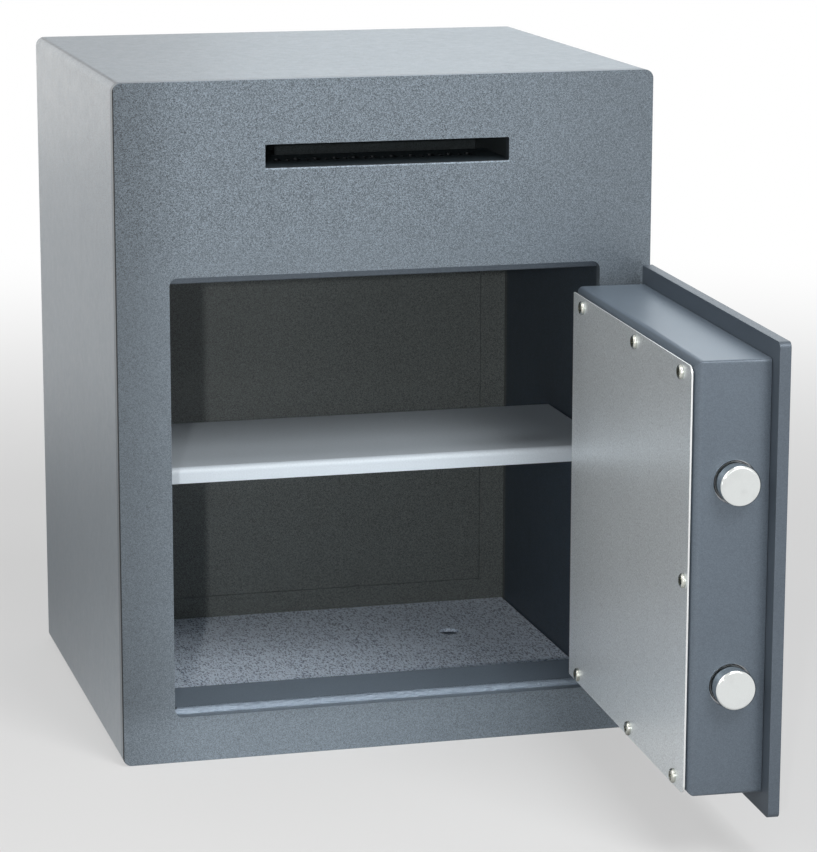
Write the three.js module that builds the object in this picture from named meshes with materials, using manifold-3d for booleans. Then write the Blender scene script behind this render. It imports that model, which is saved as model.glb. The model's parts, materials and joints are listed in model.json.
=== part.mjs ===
// A drop safe: a letter slot with a chute above a thick hinged door, with the bolts and lock inside the door.
// Lengths are millimetres, +Z is up, the front faces -Y, and the door is hinged on the right and stands open.
// X runs to the right. Depths are measured from the front face into the safe and turned into Y by one function.

import * as THREE from "three";
import { mergeVertices } from "three/addons/utils/BufferGeometryUtils.js";
import Module from "manifold-3d";

const wasm = await Module();
wasm.setup();

// Driving sizes

const seam = 0.3; // gap kept between two pieces that touch
const overrun = 3; // how far a cutting shape runs past the face that it cuts
const roundEndShare = 0.95;

const cabinet = {
  width: 400,
  depth: 360,
  height: 500,
  wall: 6,
  cornerRadius: 6.5,
  insideCornerRadius: 0.8,
  foldRadius: 0.4, // corner of the inset outline that the rounded outer edges grow from
  rearFlange: 27, // the walls turn in at the back by this much, and the back panel is let in between them
};

// the front panel's stiles stand beside the doorway, its foot below and its header above it
const front = { thickness: 8, stile: 39, foot: 34, header: 140, doorwayCornerRadius: 6 };

const slot = { width: 181, height: 17, fromTop: 46.3, cornerRadius: 0.8 };

// floor and wall bolt holes, each from the cabinet's edges
const anchor = { holeDiameter: 12, baseFromSide: 80, baseFromFront: 100, baseFromBack: 100, backFromSide: 100,
  backFromTop: 100 };

const sill = { sheet: 3, bendRadius: 5, depth: 61, rise: 3.2, beadRadius: 4.5, beadRise: 1 };

const stop = { sheet: 3, drop: 5.5, height: 22, depth: 20 };

const strike = { edgeGap: 1.5, boltGap: 0.6, overlap: 60 };

const door = {
  openAngle: 87.5, // degrees from shut, as the door stands at rest
  thickness: 8,
  gapFree: 2,
  gapHinge: 3,
  gapTop: 2,
  gapBottom: 2,
  cornerRadius: 4,
  hingeBevel: 4,
};

const box = {
  // the folded box behind the door plate, set in from the plate's edges
  insetFree: 14,
  insetHinge: 9,
  insetTop: 13,
  insetBottom: 14,
  depth: 52,
  sheet: 2,
  foldRadius: 7, // the edges round the cover are folded, and the other four are welded and ground
  weldRadius: 2.5,
  rim: 18,
  windowCornerRadius: 6,
};

const cover = {
  sheet: 1.2,
  marginFree: 3,
  marginHinge: 1.5,
  marginTop: 4,
  marginBottom: 1.2,
  freeCornerRadius: 6,
  hingeCornerRadius: 0.8,
};

const screw = {
  shankRadius: 2,
  headRadius: 4,
  headHeight: 2.4,
  length: 9,
  holeGap: 0.3,
  recessWidth: 1,
  recessSpan: 4.4,
  recessDepth: 1.1,
  fromTop: 7.5, // from the cover's edges to the screw rows and columns
  fromBottom: 6.5,
  fromHingeEdge: 25.5,
  fromFreeEdge: 21.7,
  sideFromFreeEdge: 8.5,
  middleShare: 0.553, // the middle column's place along the cover, from its free edge
};

const hinge = {
  upperFromEdge: 68, // from the door plate's top and bottom edges to the arms' middle
  lowerFromEdge: 69,
  pinRadius: 4,
  pinGap: 0.3,
  pinHeadRadius: 5.5,
  pinHeadHeight: 2,
  knuckleRadius: 7,
  knuckleGap: 0.7, // from the knuckle to the bracket's backing
  panelGap: 0.2, // and to the back of the front panel
  armHeight: 30,
  armClearance: 3.5, // from the open door's arm to the edge of the doorway
  armThickness: 9,
  armCornerRadius: 5,
  footSpread: 16,
  footThickness: 4,
  lugThickness: 5,
  lugGap: 0.3,
  backingThickness: 3,
};

const bolt = {
  radius: 13.75,
  chamfer: 2.2,
  depthInBox: 23.4, // from the plate's inner face to the bolts' axis
  upperFromEdge: 94.4, // from the door plate's top and bottom edges to the bolts' axes
  lowerFromEdge: 89.7,
  showing: 12.5, // how far a drawn bolt stands out of the box
  length: 45,
  studRadius: 5,
  holeGap: 1.2,
  guideGap: 0.4,
  nutRadius: 8.5,
  nutThickness: 7,
};

const guide = { sheet: 3, wallGap: 3, margin: 9, coverGap: 8.65, footDepth: 12 };

const bar = {
  thickness: 6,
  pastAxis: 13.5, // from the bolts' axis to the bar's far edge
  endMargin: 14,
  tongueSheet: 4,
  tongueBelow: 7, // the tongue's edges, below and above the cam pin's lowest and highest place
  tongueAbove: 12,
  tonguePastPin: 12,
  notchGap: 0.5,
};

const handle = {
  turn: 60, // degrees from locked to drawn
  spindleRadius: 6,
  spindleGap: 0.5,
  hubRadius: 13,
  hubLength: 24,
  roseRadius: 21,
  roseThickness: 4,
  roseEdge: 1.4,
  leverLength: 92,
  leverWidth: 15,
  leverThickness: 10,
  leverTipRadius: 6,
};

const cam = { radius: 18, hubRadius: 11, pinRadius: 4, armEndRadius: 7, thickness: 5, plateGap: 2, slotGap: 0.4 };

const lock = {
  width: 60,
  height: 54,
  thickness: 20,
  cornerRadius: 1,
  aboveTongue: 5,
  boltworkGap: 24.9, // from the ends of the drawn bolts' studs to the case
  sideShare: 0.25, // how far the case reaches to the right of the keyhole, as a share of its width
  boltWidth: 12,
  boltThickness: 6,
  boltLength: 20,
  boltFromSpindle: 31,
  travel: 9,
  tipGap: 1.5,
  pocketGap: 0.4,
  keyholeRadius: 3,
  keyholeTail: 6,
  keyholeTailWidth: 3,
  keyholeAboveCase: 27,
  roseRadius: 15,
  roseThickness: 3,
};

const shelf = { aboveMiddle: 9, sheet: 1.5, lip: 12, lipRadius: 4.5, depth: 160, doorGap: 1.5, wallGap: 1.6 };

const bracket = { sheet: 2, leg: 15, endInset: 6 };

const mat = { thickness: 3, edgeGap: 1, holeGap: 3 };

const chute = {
  sheet: 2,
  cheekGap: 3, // the cheeks stand this far outside the slot's ends
  cheekDrop: 62,
  ledgeDepth: 62,
  ledgeDrop: 26,
  holePitch: 14.4,
  holeWidth: 4.6,
  holeLength: 14,
  slitWidth: 2,
  slitLength: 9,
  holesFromFront: 36,
  backTopDepth: 78,
  backFootDepth: 118,
  rampTopDepth: 40,
  rampFootDepth: 92,
  rampRise: 40,
  frontFlange: 14,
};

// Places that follow from the driving sizes

const frontY = -cabinet.depth / 2;
const atDepth = (depth) => frontY + depth;
const panelBack = front.thickness + seam; // the first free depth behind the front panel
const innerWallX = cabinet.width / 2 - cabinet.wall;
const floorTop = cabinet.wall;
const ceiling = cabinet.height - cabinet.wall;
const backFace = cabinet.depth - cabinet.wall;
const doorway = { edgeX: cabinet.width / 2 - front.stile, bottom: front.foot, top: cabinet.height - front.header };
const slotBottom = cabinet.height - slot.fromTop - slot.height;

const plate = {
  left: -doorway.edgeX + door.gapFree,
  right: doorway.edgeX - door.gapHinge,
  bottom: doorway.bottom + door.gapBottom,
  top: doorway.top - door.gapTop,
};
const boxBody = {
  left: plate.left + box.insetFree,
  right: plate.right - box.insetHinge,
  bottom: plate.bottom + box.insetBottom,
  top: plate.top - box.insetTop,
  near: door.thickness + seam,
};
boxBody.far = boxBody.near + box.depth;
const coverBody = {
  left: boxBody.left + cover.marginFree,
  right: boxBody.right - cover.marginHinge,
  bottom: boxBody.bottom + cover.marginBottom,
  top: boxBody.top - cover.marginTop,
  near: boxBody.far + seam,
};
coverBody.far = coverBody.near + cover.sheet;
const doorFar = coverBody.far + seam + screw.headHeight;

const shelfBody = { near: doorFar + shelf.doorGap, top: (doorway.bottom + doorway.top) / 2 + shelf.aboveMiddle };
shelfBody.far = shelfBody.near + shelf.depth;

const pivot = {
  x: innerWallX - seam - hinge.backingThickness - hinge.knuckleGap - hinge.knuckleRadius,
  depth: panelBack + hinge.panelGap + hinge.knuckleRadius,
};
const armReach = pivot.x - doorway.edgeX + hinge.armClearance; // from the pivot to the arm's crosspiece
const hingeHeight = { upper: plate.top - hinge.upperFromEdge, lower: plate.bottom + hinge.lowerFromEdge };
const boltHeight = { upper: plate.top - bolt.upperFromEdge, lower: plate.bottom + bolt.lowerFromEdge };
const boltAxisDepth = door.thickness + bolt.depthInBox;
const boltTipX = boxBody.left - bolt.showing;
const boltTailX = boltTipX + bolt.length;
const studEndX = boltTailX + seam + bar.thickness + seam + bolt.nutThickness;
const lockCase = {
  left: studEndX + lock.boltworkGap,
  right: studEndX + lock.boltworkGap + lock.width,
  near: door.thickness + seam,
};
const spindle = {
  x: lockCase.right - lock.width * lock.sideShare,
  z: (boltHeight.upper + boltHeight.lower) / 2,
};
const halfTurn = THREE.MathUtils.degToRad(handle.turn / 2);
const boltThrow = 2 * cam.radius * Math.sin(halfTurn);
const camPin = {
  // the pin stands above the spindle, to the right when the bolts are drawn
  x: spindle.x + cam.radius * Math.sin(halfTurn),
  lowest: spindle.z + cam.radius * Math.cos(halfTurn),
  highest: spindle.z + cam.radius,
};
const camNear = door.thickness + cam.plateGap;
const tongue = {
  near: camNear + cam.thickness + cam.plateGap,
  bottom: camPin.lowest - cam.pinRadius - bar.tongueBelow,
  top: camPin.highest + cam.pinRadius + bar.tongueAbove,
};
const lockX = spindle.x - lock.boltFromSpindle;
lockCase.bottom = tongue.top + lock.aboveTongue;
lockCase.top = lockCase.bottom + lock.height;
const keyholeZ = lockCase.bottom + lock.keyholeAboveCase;

// Solid modelling helpers

function solidOf(geometry) {
  const loose = geometry.index ? geometry.toNonIndexed() : geometry;
  const bare = new THREE.BufferGeometry().setAttribute("position", loose.getAttribute("position"));
  const welded = mergeVertices(bare);
  const mesh = new wasm.Mesh({
    numProp: 3,
    vertProperties: new Float32Array(welded.attributes.position.array),
    triVerts: new Uint32Array(welded.index.array),
  });
  return new wasm.Manifold(mesh);
}

function geometryOf(solid) {
  const mesh = solid.getMesh();
  const welded = new THREE.BufferGeometry();
  const points = new Float32Array(mesh.numVert * 3);
  for (let i = 0; i < mesh.numVert; i += 1) {
    const start = i * mesh.numProp;
    points.set(mesh.vertProperties.subarray(start, start + 3), i * 3);
  }
  welded.setAttribute("position", new THREE.BufferAttribute(points, 3));
  welded.setIndex(new THREE.BufferAttribute(mesh.triVerts, 1));
  const geometry = welded.toNonIndexed();
  geometry.computeVertexNormals();
  return geometry;
}

const join = (...solids) => solids.reduce((whole, next) => whole.add(next));
const cut = (solid, ...tools) => tools.reduce((rest, tool) => rest.subtract(tool), solid);
const common = (first, second) => first.intersect(second);

// A block between two corners; depths are measured from the front face.
function block(left, right, near, far, bottom, top) {
  const geometry = new THREE.BoxGeometry(right - left, far - near, top - bottom);
  geometry.translate((left + right) / 2, atDepth((near + far) / 2), (bottom + top) / 2);
  return solidOf(geometry);
}

// Outlines are drawn in the plane that they are pushed out of.
function roundedOutline(left, right, bottom, top, radii) {
  const [lowLeft, lowRight, highRight, highLeft] = Array.isArray(radii) ? radii : [radii, radii, radii, radii];
  const shape = new THREE.Shape();
  shape.moveTo(left + lowLeft, bottom);
  shape.lineTo(right - lowRight, bottom);
  shape.absarc(right - lowRight, bottom + lowRight, lowRight, -Math.PI / 2, 0, false);
  shape.lineTo(right, top - highRight);
  shape.absarc(right - highRight, top - highRight, highRight, 0, Math.PI / 2, false);
  shape.lineTo(left + highLeft, top);
  shape.absarc(left + highLeft, top - highLeft, highLeft, Math.PI / 2, Math.PI, false);
  shape.lineTo(left, bottom + lowLeft);
  shape.absarc(left + lowLeft, bottom + lowLeft, lowLeft, Math.PI, 1.5 * Math.PI, false);
  return shape;
}

// A slot with round ends. The ends stay a shade under a half circle, so that the straight sides never vanish.
function roundEnded(left, right, bottom, top) {
  const radius = Math.min(right - left, top - bottom) * roundEndShare / 2;
  return roundedOutline(left, right, bottom, top, radius);
}

// Pushes an X-Z outline through the safe from one depth to another.
function throughDepth(shape, near, far, options = {}) {
  const settings = { depth: far - near, bevelEnabled: false, curveSegments: 5, ...options };
  const geometry = new THREE.ExtrudeGeometry(shape, settings);
  geometry.rotateX(Math.PI / 2);
  geometry.translate(0, atDepth(far), 0);
  return solidOf(geometry);
}

// Pushes an X-Y outline, drawn with depths for its second axis, upwards.
function upwards(shape, bottom, top, curveSegments = 6) {
  const geometry = new THREE.ExtrudeGeometry(shape, { depth: top - bottom, bevelEnabled: false, curveSegments });
  geometry.translate(0, frontY, bottom);
  return solidOf(geometry);
}

// Pushes a depth-Z outline sideways from one X to another.
function sideways(shape, left, right) {
  const geometry = new THREE.ExtrudeGeometry(shape, { depth: right - left, bevelEnabled: false, curveSegments: 5 });
  const turn = new THREE.Matrix4().makeBasis(
    new THREE.Vector3(0, 1, 0),
    new THREE.Vector3(0, 0, 1),
    new THREE.Vector3(1, 0, 0),
  );
  geometry.applyMatrix4(turn);
  geometry.translate(left, frontY, 0);
  return solidOf(geometry);
}

function polygon(points) {
  const shape = new THREE.Shape();
  points.forEach(([u, v], i) => (i ? shape.lineTo(u, v) : shape.moveTo(u, v)));
  return shape;
}

// Round bars along the three axes.
function barAlongX(radius, left, right, depth, z, sides = 24) {
  const geometry = new THREE.CylinderGeometry(radius, radius, right - left, sides);
  geometry.rotateZ(Math.PI / 2);
  geometry.translate((left + right) / 2, atDepth(depth), z);
  return solidOf(geometry);
}

function barThroughDepth(radius, near, far, x, z, sides = 24) {
  const geometry = new THREE.CylinderGeometry(radius, radius, far - near, sides);
  geometry.translate(x, atDepth((near + far) / 2), z);
  return solidOf(geometry);
}

function barUpwards(radius, bottom, top, x, depth, sides = 24) {
  const geometry = new THREE.CylinderGeometry(radius, radius, top - bottom, sides);
  geometry.rotateX(Math.PI / 2);
  geometry.translate(x, atDepth(depth), (bottom + top) / 2);
  return solidOf(geometry);
}

// A turned piece: the profile holds [radius, place along the axis] pairs, and its axis runs through the depth.
function turnedThroughDepth(profile, x, z, sides = 28) {
  const points = profile.map(([radius, depth]) => new THREE.Vector2(radius, depth));
  const geometry = new THREE.LatheGeometry(points, sides);
  geometry.translate(x, frontY, z);
  return solidOf(geometry);
}

// Finishes

const finish = (color, metalness, roughness) => new THREE.MeshStandardMaterial({ color, metalness, roughness });
const finishes = {
  paint: () => finish(0x66717c, 0.35, 0.55),
  innerPaint: () => finish(0x464d4e, 0.2, 0.7),
  coverPaint: () => finish(0xa9adad, 0.4, 0.45),
  shelfPaint: () => finish(0xb4b8b9, 0.2, 0.5),
  chrome: () => finish(0xd8d8d4, 1, 0.18),
  zinc: () => finish(0xc2c0b4, 0.9, 0.35),
  steel: () => finish(0x8f9498, 0.8, 0.45),
  felt: () => finish(0x5f656d, 0, 0.95),
};

function piece(name, solid, material) {
  const mesh = new THREE.Mesh(geometryOf(solid), material);
  mesh.name = name;
  return mesh;
}

// The cabinet

function bodyWrap() {
  const { width, height, depth, wall, cornerRadius, insideCornerRadius, foldRadius } = cabinet;
  const outline = roundedOutline(-width / 2 + cornerRadius, width / 2 - cornerRadius, cornerRadius,
    height - cornerRadius, foldRadius);
  // the rear edge is bent with the same radius as the corners; the front end is trimmed square
  const bent = throughDepth(outline, cornerRadius, depth - cornerRadius, {
    bevelEnabled: true,
    bevelThickness: cornerRadius,
    bevelSize: cornerRadius,
    bevelSegments: 4,
    curveSegments: 4,
  });
  const square = block(-width, width, panelBack, depth + overrun, -overrun, height + overrun);
  const hollow = throughDepth(
    roundedOutline(-innerWallX, innerWallX, floorTop, ceiling, insideCornerRadius), -overrun, backFace);
  const rearWindow = throughDepth(rearWindowOutline(0), backFace - overrun, depth + overrun);
  return cut(common(bent, square), hollow, rearWindow, ...baseHoles(anchor.holeDiameter / 2, -overrun, wall + overrun));
}

function rearWindowOutline(gap) {
  const { width, height, rearFlange, insideCornerRadius } = cabinet;
  const inset = rearFlange + gap;
  return roundedOutline(-width / 2 + inset, width / 2 - inset, inset, height - inset, insideCornerRadius);
}

function baseHoles(radius, bottom, top) {
  const x = cabinet.width / 2 - anchor.baseFromSide;
  const depths = [anchor.baseFromFront, cabinet.depth - anchor.baseFromBack];
  return [-x, x].flatMap((across) => depths.map((depth) => barUpwards(radius, bottom, top, across, depth, 20)));
}

function backPanel() {
  const panel = throughDepth(rearWindowOutline(seam), backFace, cabinet.depth);
  const x = cabinet.width / 2 - anchor.backFromSide;
  const holes = [-x, x].map((across) => barThroughDepth(anchor.holeDiameter / 2, backFace - overrun,
    cabinet.depth + overrun, across, cabinet.height - anchor.backFromTop, 20));
  return cut(panel, ...holes);
}

function frontPanel() {
  const { width, height, cornerRadius } = cabinet;
  const panel = throughDepth(roundedOutline(-width / 2, width / 2, 0, height, cornerRadius), 0, front.thickness);
  const { edgeX, bottom, top } = doorway;
  const hole = roundedOutline(-edgeX, edgeX, bottom, top, front.doorwayCornerRadius);
  const mouth = roundedOutline(-slot.width / 2, slot.width / 2, slotBottom, slotBottom + slot.height,
    slot.cornerRadius);
  const past = front.thickness + overrun;
  return cut(panel, throughDepth(hole, -overrun, past), throughDepth(mouth, -overrun, past));
}

// An upside-down channel across the foot of the opening, with a round bead along its front edge.
function sillChannel() {
  const top = doorway.bottom + sill.rise;
  const far = panelBack + sill.depth;
  const foot = floorTop + seam;
  const inner = sill.bendRadius - sill.sheet;
  const outside = roundedOutline(panelBack, far, foot, top, [0, 0, sill.bendRadius, sill.bendRadius]);
  const inside = roundedOutline(panelBack + sill.sheet, far - sill.sheet, foot - overrun, top - sill.sheet,
    [0, 0, inner, inner]);
  const end = innerWallX - seam;
  const channel = cut(sideways(outside, -end, end), sideways(inside, -end - overrun, end + overrun));
  const beadTop = top + sill.beadRise;
  const bead = barAlongX(sill.beadRadius, -end, end, panelBack + sill.beadRadius, beadTop - sill.beadRadius);
  return join(channel, bead);
}

// An angle behind the top of the opening, which the door plate closes against.
function stopAngle() {
  const bottom = doorway.top - stop.drop;
  const top = bottom + stop.height;
  const end = innerWallX - seam;
  const upright = block(-end, end, panelBack, panelBack + stop.sheet, bottom, top);
  const level = block(-end, end, panelBack, panelBack + stop.depth, top - stop.sheet, top);
  return join(upright, level);
}

// A bar behind the left edge of the opening, which the thrown bolts reach behind.
function strikeBar() {
  const far = boltAxisDepth - bolt.radius - strike.boltGap;
  const bottom = boltHeight.lower - strike.overlap;
  const top = boltHeight.upper + strike.overlap;
  return block(-innerWallX + seam, -doorway.edgeX - strike.edgeGap, panelBack, far, bottom, top);
}

function hingeBracket(z) {
  const right = innerWallX - seam;
  const half = hinge.armHeight / 2 + hinge.lugGap;
  const near = pivot.depth - hinge.knuckleRadius;
  const far = pivot.depth + hinge.knuckleRadius;
  const outer = half + hinge.lugThickness;
  const backing = block(right - hinge.backingThickness, right, near, far, z - outer, z + outer);
  const lugs = [-1, 1].map((side) => {
    const bottom = side > 0 ? z + half : z - outer;
    const eye = barUpwards(hinge.knuckleRadius, bottom, bottom + hinge.lugThickness, pivot.x, pivot.depth, 20);
    return join(eye, block(pivot.x, right, near, far, bottom, bottom + hinge.lugThickness));
  });
  const bore = barUpwards(hinge.pinRadius + hinge.pinGap, z - outer - overrun, z + outer + overrun,
    pivot.x, pivot.depth);
  return cut(join(backing, ...lugs), bore);
}

function hingePin(z) {
  const reach = hinge.armHeight / 2 + hinge.lugGap + hinge.lugThickness;
  const shank = barUpwards(hinge.pinRadius, z - reach, z + reach + seam + hinge.pinHeadHeight,
    pivot.x, pivot.depth);
  const head = barUpwards(hinge.pinHeadRadius, z + reach + seam, z + reach + seam + hinge.pinHeadHeight,
    pivot.x, pivot.depth);
  return join(shank, head);
}

function shelfTray() {
  const end = innerWallX - shelf.wallGap;
  const { near, far, top } = shelfBody;
  const inner = shelf.lipRadius - shelf.sheet;
  const foot = top - shelf.lip;
  const outside = roundedOutline(near, far, foot, top, [0, 0, shelf.lipRadius, shelf.lipRadius]);
  const inside = roundedOutline(near + shelf.sheet, far - shelf.sheet, foot - overrun, top - shelf.sheet,
    [0, 0, inner, inner]);
  return cut(sideways(outside, -end, end), sideways(inside, -end - overrun, end + overrun));
}

// An angle on the side wall: the shelf's top sheet lies on its level leg, between the shelf's two lips.
function shelfBracket(side) {
  const near = shelfBody.near + shelf.sheet + bracket.endInset;
  const far = shelfBody.far - shelf.sheet - bracket.endInset;
  const top = shelfBody.top - shelf.sheet - seam;
  const wallX = innerWallX - seam;
  const legs = [
    [wallX - bracket.leg, wallX, top - bracket.sheet, top],
    [wallX - bracket.sheet, wallX, top - bracket.leg, top],
  ].map(([left, right, low, high]) => {
    const [from, to] = side > 0 ? [left, right] : [-right, -left];
    return block(from, to, near, far, low, high);
  });
  return join(...legs);
}

function floorMat() {
  const near = panelBack + sill.depth + mat.edgeGap;
  const far = backFace - mat.edgeGap;
  const end = innerWallX - mat.edgeGap;
  const bottom = floorTop + seam;
  const top = bottom + mat.thickness;
  const holes = baseHoles(anchor.holeDiameter / 2 + mat.holeGap, bottom - overrun, top + overrun);
  return cut(block(-end, end, near, far, bottom, top), ...holes);
}

// The chute behind the slot

const cheekX = slot.width / 2 + chute.cheekGap;

// A ledge level with the foot of the slot, turned down at both edges, with two rows of holes as an anti-fishing grate.
function chuteLedge() {
  const end = cheekX - seam;
  const top = slotBottom;
  const far = panelBack + chute.ledgeDepth;
  const bottom = top - chute.sheet;
  const sheet = block(-end, end, panelBack, far, bottom, top);
  const flange = block(-end, end, panelBack, panelBack + chute.sheet, top - chute.frontFlange, top);
  const lip = block(-end, end, far - chute.sheet, far, top - chute.ledgeDrop, top);
  const count = Math.floor((slot.width / 2 - chute.holeWidth) / chute.holePitch);
  const holes = [];
  for (let i = -count; i <= count; i += 1) {
    const x = i * chute.holePitch;
    const near = chute.holesFromFront;
    const slitX = x + chute.holePitch / 2;
    const hole = roundEnded(x - chute.holeWidth / 2, x + chute.holeWidth / 2, near, near + chute.holeLength);
    holes.push(upwards(hole, bottom - overrun, top + overrun, 2));
    if (i < count) {
      holes.push(block(slitX - chute.slitWidth / 2, slitX + chute.slitWidth / 2, near,
        near + chute.slitLength, bottom - overrun, top + overrun));
    }
  }
  return cut(join(sheet, flange, lip), ...holes);
}

// A slanting plate that turns what has passed over the ledge down into the safe.
function chuteBack() {
  const end = cheekX - seam;
  const top = ceiling - seam;
  const foot = slotBottom - chute.cheekDrop;
  const outline = polygon([
    [chute.backTopDepth, top],
    [chute.backFootDepth, foot],
    [chute.backFootDepth + chute.sheet, foot],
    [chute.backTopDepth + chute.sheet, top],
  ]);
  return sideways(outline, -end, end);
}

// A slanting plate under the ledge that throws the drop to the back, clear of the door.
function chuteRamp() {
  const end = cheekX - seam;
  const foot = slotBottom - chute.cheekDrop;
  const outline = polygon([
    [chute.rampTopDepth, foot + chute.rampRise],
    [chute.rampTopDepth, foot + chute.rampRise - chute.sheet],
    [chute.rampFootDepth, foot],
    [chute.rampFootDepth, foot + chute.sheet],
  ]);
  return sideways(outline, -end, end);
}

function chuteCheek(side) {
  const foot = slotBottom - chute.cheekDrop;
  const top = ceiling - seam;
  const outline = polygon([
    [panelBack, foot + chute.rampRise - chute.sheet],
    [chute.rampTopDepth, foot + chute.rampRise - chute.sheet],
    [chute.rampFootDepth, foot],
    [chute.backFootDepth + chute.sheet, foot],
    [chute.backFootDepth + chute.sheet, top],
    [panelBack, top],
  ]);
  const inner = cheekX;
  const outer = cheekX + chute.sheet;
  return side > 0 ? sideways(outline, inner, outer) : sideways(outline, -outer, -inner);
}

// The door, drawn shut

function doorPlate() {
  const outline = roundedOutline(plate.left, plate.right, plate.bottom, plate.top, door.cornerRadius);
  const slab = throughDepth(outline, 0, door.thickness);
  // the inner hinge edge is bevelled, so that it clears the front panel as the door swings
  const bevel = polygon([
    [plate.right - door.hingeBevel, door.thickness],
    [plate.right, door.thickness - door.hingeBevel],
    [plate.right + overrun, door.thickness - door.hingeBevel],
    [plate.right + overrun, door.thickness + overrun],
    [plate.right - door.hingeBevel, door.thickness + overrun],
  ]);
  const spindleHole = barThroughDepth(handle.spindleRadius + handle.spindleGap, -overrun,
    door.thickness + overrun, spindle.x, spindle.z);
  return cut(slab, upwards(bevel, plate.bottom - overrun, plate.top + overrun), spindleHole,
    keyway(-overrun, door.thickness + overrun));
}

// A keyhole: a round hole with a narrower tail below it.
function keyway(near, far) {
  const half = lock.keyholeTailWidth / 2;
  const round = barThroughDepth(lock.keyholeRadius, near, far, spindle.x, keyholeZ, 16);
  const tail = block(spindle.x - half, spindle.x + half, near, far, keyholeZ - lock.keyholeTail, keyholeZ);
  return join(round, tail);
}

// The box behind the plate: a pan folded from sheet, open at the plate, with a rim for the cover.
function doorBox() {
  const { left, right, bottom, top, near, far } = boxBody;
  const outer = foldedPan(0);
  const inner = foldedPan(box.sheet);
  const window = throughDepth(roundedOutline(left + box.rim, right - box.rim, bottom + box.rim, top - box.rim,
    box.windowCornerRadius), near, far + overrun);
  const square = block(left - overrun, right + overrun, near, far + overrun, bottom - overrun, top + overrun);
  const boltHoles = [boltHeight.upper, boltHeight.lower].map((z) =>
    barAlongX(bolt.radius + bolt.holeGap, left - overrun, left + box.rim / 2, boltAxisDepth, z, 28));
  const screwHoles = coverScrewPlaces().map(({ x, z }) =>
    barThroughDepth(screw.shankRadius + screw.holeGap, far - box.foldRadius, far + overrun, x, z, 12));
  return cut(common(outer, square), inner, window, ...boltHoles, ...screwHoles);
}

// The pan's outer form, or its inner form when shrunk by the sheet: three outlines pushed through each other.
function foldedPan(shrink) {
  const left = boxBody.left + shrink;
  const right = boxBody.right - shrink;
  const bottom = boxBody.bottom + shrink;
  const top = boxBody.top - shrink;
  const near = boxBody.near - overrun;
  const far = boxBody.far - shrink;
  const fold = box.foldRadius - shrink;
  const acrossFolds = upwards(roundedOutline(left, right, near, far, [0, 0, fold, fold]), bottom, top);
  const uprightFolds = sideways(roundedOutline(near, far, bottom, top, [0, fold, fold, 0]), left, right);
  const welds = throughDepth(roundedOutline(left, right, bottom, top, box.weldRadius - shrink), near, far);
  return common(common(acrossFolds, uprightFolds), welds);
}

function coverScrewPlaces() {
  const { left, right, bottom, top } = coverBody;
  const columns = [
    right - screw.fromHingeEdge,
    left + (right - left) * (1 - screw.middleShare),
    left + screw.fromFreeEdge,
  ];
  const rows = [top - screw.fromTop, bottom + screw.fromBottom];
  const places = rows.flatMap((z) => columns.map((x) => ({ x, z })));
  places.push({ x: left + screw.sideFromFreeEdge, z: (bottom + top) / 2 });
  return places;
}

function doorCover() {
  const { left, right, bottom, top, near, far } = coverBody;
  const free = cover.freeCornerRadius;
  const hinged = cover.hingeCornerRadius;
  const sheet = throughDepth(roundedOutline(left, right, bottom, top, [free, hinged, hinged, free]), near, far);
  const holes = coverScrewPlaces().map(({ x, z }) =>
    barThroughDepth(screw.shankRadius + screw.holeGap, near - overrun, far + overrun, x, z, 12));
  return cut(sheet, ...holes);
}

function coverScrew({ x, z }) {
  const headNear = coverBody.far + seam;
  const headFar = headNear + screw.headHeight;
  const shoulder = screw.headRadius - screw.headHeight / 3;
  const body = turnedThroughDepth([
    [0, headNear - screw.length],
    [screw.shankRadius, headNear - screw.length],
    [screw.shankRadius, headNear],
    [screw.headRadius, headNear],
    [screw.headRadius, (headNear + headFar) / 2],
    [shoulder, headFar],
    [0, headFar],
  ], x, z, 16);
  const half = screw.recessWidth / 2;
  const span = screw.recessSpan / 2;
  const floor = headFar - screw.recessDepth;
  const arms = join(
    block(x - span, x + span, floor, headFar + overrun, z - half, z + half),
    block(x - half, x + half, floor, headFar + overrun, z - span, z + span),
  );
  return cut(body, arms);
}

// A swan-neck arm: it runs into the safe past the edge of the front panel, then across to the door box.
function hingeArm(z) {
  const bottom = z - hinge.armHeight / 2;
  const top = z + hinge.armHeight / 2;
  const half = hinge.armThickness / 2;
  const crossNear = pivot.depth + armReach;
  const crossFar = crossNear + hinge.armThickness;
  const right = pivot.x + half;
  const left = boxBody.right + seam;
  const knuckle = barUpwards(hinge.knuckleRadius, bottom, top, pivot.x, pivot.depth, 24);
  const inner = hinge.armCornerRadius;
  const neck = new THREE.Shape();
  neck.moveTo(pivot.x - half, pivot.depth);
  neck.lineTo(right, pivot.depth);
  neck.lineTo(right, crossFar - inner);
  neck.absarc(right - inner, crossFar - inner, inner, 0, Math.PI / 2, false);
  neck.lineTo(left, crossFar);
  neck.lineTo(left, crossNear);
  neck.lineTo(pivot.x - half - inner, crossNear);
  neck.absarc(pivot.x - half - inner, crossNear - inner, inner, Math.PI / 2, 0, true);
  neck.lineTo(pivot.x - half, pivot.depth);
  const footNear = (crossNear + crossFar - hinge.footSpread) / 2;
  const foot = block(left, left + hinge.footThickness, footNear, footNear + hinge.footSpread, bottom, top);
  const bore = barUpwards(hinge.pinRadius + hinge.pinGap, bottom - overrun, top + overrun, pivot.x, pivot.depth);
  return cut(join(knuckle, upwards(neck, bottom, top), foot), bore);
}

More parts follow.
